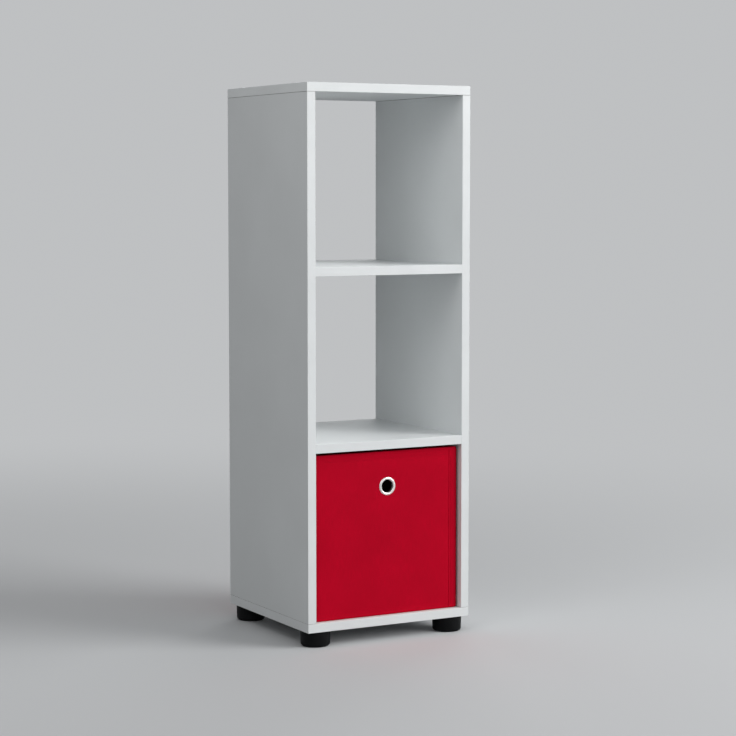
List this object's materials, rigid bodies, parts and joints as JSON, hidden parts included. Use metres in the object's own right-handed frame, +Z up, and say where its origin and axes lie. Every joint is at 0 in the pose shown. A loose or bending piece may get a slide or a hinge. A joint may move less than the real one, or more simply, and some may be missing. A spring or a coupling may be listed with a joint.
{
  "type": "bathroom cabinet",
  "caption": "Tall narrow open-backed shelf cabinet on round feet, with open bays above and a pull-out fabric storage box with a ring pull below.",
  "frame": {"origin": "on the floor, under the middle of the carcass", "axes": "+Z up, -Y out of the open front, +X to the right of someone who looks at the front"},
  "size_m": [0.308, 0.298, 0.9255],
  "materials": {
    "white_board": "white melamine-faced chipboard, satin",
    "white_edge_band": "white edge banding, satin",
    "screw_steel": "zinc-plated steel",
    "cam_zinc": "die-cast zinc, dull",
    "dowel_beech": "raw beech, grooved",
    "cap_plastic": "white moulded plastic",
    "black_plastic": "black moulded plastic, low gloss",
    "red_cloth": "red woven cloth, matt",
    "grey_card": "grey card",
    "ring_nickel": "nickel plate, polished"
  },
  "bodies": {
    "carcass": {"top_panel": "white_board", "bottom_panel": "white_board", "left_side": "white_board", "right_side": "white_board", "upper_shelf": "white_board", "lower_shelf": "white_board", "top_panel_edge_bands": "white_edge_band", "bottom_panel_edge_bands": "white_edge_band", "upper_shelf_edge_bands": "white_edge_band", "lower_shelf_edge_bands": "white_edge_band", "left_side_edge_bands": "white_edge_band", "right_side_edge_bands": "white_edge_band", "top_connector_screws": "screw_steel", "bottom_connector_screws": "screw_steel", "foot_screws": "screw_steel", "upper_shelf_cam_bolts": "screw_steel", "lower_shelf_cam_bolts": "screw_steel", "upper_shelf_cams": "cam_zinc", "lower_shelf_cams": "cam_zinc", "top_dowels": "dowel_beech", "bottom_dowels": "dowel_beech", "upper_shelf_dowels": "dowel_beech", "lower_shelf_dowels": "dowel_beech", "top_screw_caps": "cap_plastic", "front_left_foot": "black_plastic", "front_right_foot": "black_plastic", "rear_left_foot": "black_plastic", "rear_right_foot": "black_plastic"},
    "storage_box": {"box_cover": "red_cloth", "box_lining": "red_cloth", "box_bottom_cloth": "red_cloth", "box_front_board": "grey_card", "box_rear_board": "grey_card", "box_left_front_board": "grey_card", "box_left_rear_board": "grey_card", "box_right_front_board": "grey_card", "box_right_rear_board": "grey_card", "pull_ring": "ring_nickel", "pull_ring_washer": "ring_nickel"},
    "box_insert": {"insert_board": "grey_card", "insert_cover": "red_cloth"}
  },
  "joints": [
    {"name": "storage_box_slide", "type": "slide", "parent": "carcass", "child": "storage_box", "axis": [0, -1, 0], "range_m": [0, 0.3]},
    {"name": "box_insert_lift", "type": "slide", "parent": "storage_box", "child": "box_insert", "axis": [0, 0, 1], "range_m": [0, 0.25]}
  ]
}
